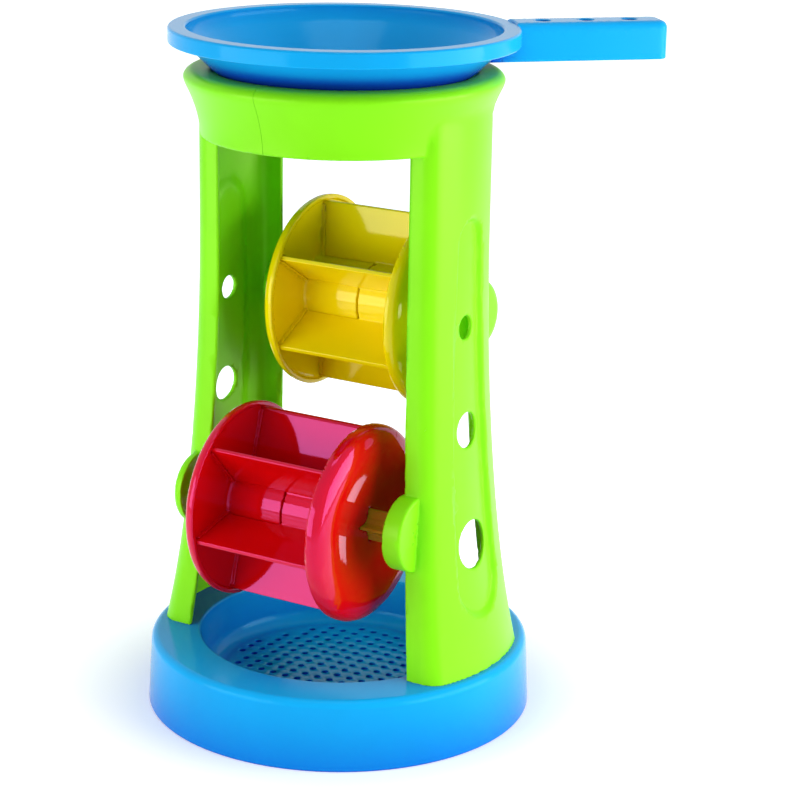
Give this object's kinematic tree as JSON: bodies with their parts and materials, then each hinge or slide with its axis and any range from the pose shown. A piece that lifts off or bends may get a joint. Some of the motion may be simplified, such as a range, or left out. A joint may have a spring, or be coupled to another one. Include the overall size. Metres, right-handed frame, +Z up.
{
  "type": "sand wheel toy",
  "caption": "Free-standing sand toy: sieve dish, two flared columns with a collar, bucket wheels one above the other, and a lift-off pan with a handle.",
  "frame": {"origin": "on the ground, at the middle of the round sieve dish", "axes": "+Z up, X along both wheel axles with +X to the right-hand column, -Y to the front, where the lower wheel is"},
  "size_m": [0.211, 0.2092, 0.3356],
  "materials": {
    "blue_plastic": "glossy azure blue",
    "green_plastic": "semi-gloss lime green",
    "red_plastic": "high gloss red",
    "yellow_plastic": "glossy yellow",
    "axle_plastic": "semi-gloss yellow"
  },
  "bodies": {
    "stand": {"base": "blue_plastic", "frame_left": "green_plastic", "frame_right": "green_plastic"},
    "pan": {"pan": "blue_plastic"},
    "lower_wheel": {"lower_wheel_left": "red_plastic", "lower_wheel_right": "red_plastic", "lower_axle": "axle_plastic"},
    "upper_wheel": {"upper_wheel_left": "yellow_plastic", "upper_wheel_right": "yellow_plastic", "upper_axle": "axle_plastic"}
  },
  "joints": [
    {"name": "pan_lift", "type": "slide", "parent": "stand", "child": "pan", "axis": [0, 0, 1], "range_m": [0, 0.06]},
    {"name": "lower_wheel_spin", "type": "hinge", "parent": "stand", "child": "lower_wheel", "pos_m": [0, -0.0312, 0.1057], "axis": [1, 0, 0], "continuous": true},
    {"name": "upper_wheel_spin", "type": "hinge", "parent": "stand", "child": "upper_wheel", "pos_m": [0, 0.0349, 0.1966], "axis": [1, 0, 0], "continuous": true}
  ]
}
